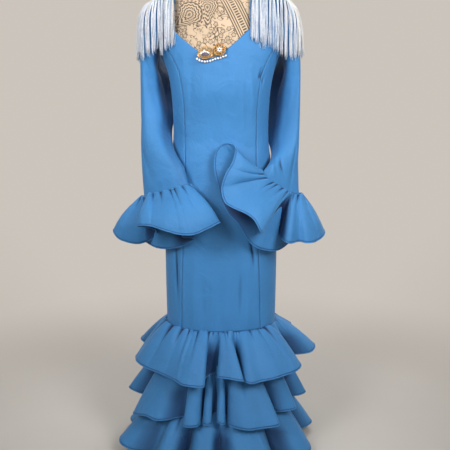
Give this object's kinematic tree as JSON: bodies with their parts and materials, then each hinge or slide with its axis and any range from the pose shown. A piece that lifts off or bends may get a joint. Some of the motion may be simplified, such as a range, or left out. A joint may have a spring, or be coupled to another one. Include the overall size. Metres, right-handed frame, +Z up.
{
  "type": "flamenco dress on dress form",
  "caption": "Long-sleeved flamenco dress with flounced cuffs, tiered flounced hem, fringed shoulders and a brooch, worn on a covered dress form with a pole and round base.",
  "frame": {"origin": "centre of the stand base's underside, on the floor", "axes": "+Z up, the dress's front towards -Y, the wearer's left towards +X"},
  "size_m": [0.6403, 0.5994, 1.5363],
  "materials": {
    "crepe": "matte crepe with a slight sheen",
    "fringe_silk": "soft shiny rayon strands",
    "form_cover": "printed cotton cover",
    "stand_black": "satin black",
    "zip_metal": "lacquered to match the cloth",
    "gilt": "gilt, bright",
    "pearl": "imitation pearl"
  },
  "bodies": {
    "root": {"front_centre": "crepe", "front_side_right": "crepe", "front_side_left": "crepe", "back_right": "crepe", "back_left": "crepe", "sleeve_right": "crepe", "sleeve_left": "crepe", "cuff_flounce_right": "crepe", "cuff_flounce_left": "crepe", "skirt_base": "crepe", "tier_1": "crepe", "tier_2": "crepe", "tier_3": "crepe", "zip_slider": "zip_metal", "braid_right": "fringe_silk", "braid_left": "fringe_silk", "fringe_right": "fringe_silk", "fringe_left": "fringe_silk", "brooch_loop": "gilt", "brooch_rosette": "gilt", "brooch_pearls": "pearl", "form_torso": "form_cover", "neck_cap": "stand_black", "stand_pole": "stand_black", "stand_base": "stand_black"},
    "pull_tab": {"zip_pull_tab": "zip_metal"}
  },
  "joints": [
    {"name": "pull_tab_hinge", "type": "hinge", "parent": "root", "child": "pull_tab", "pos_m": [0, 0.10175, 1.322], "axis": [1, 0, 0], "range_deg": [0, 150]}
  ]
}
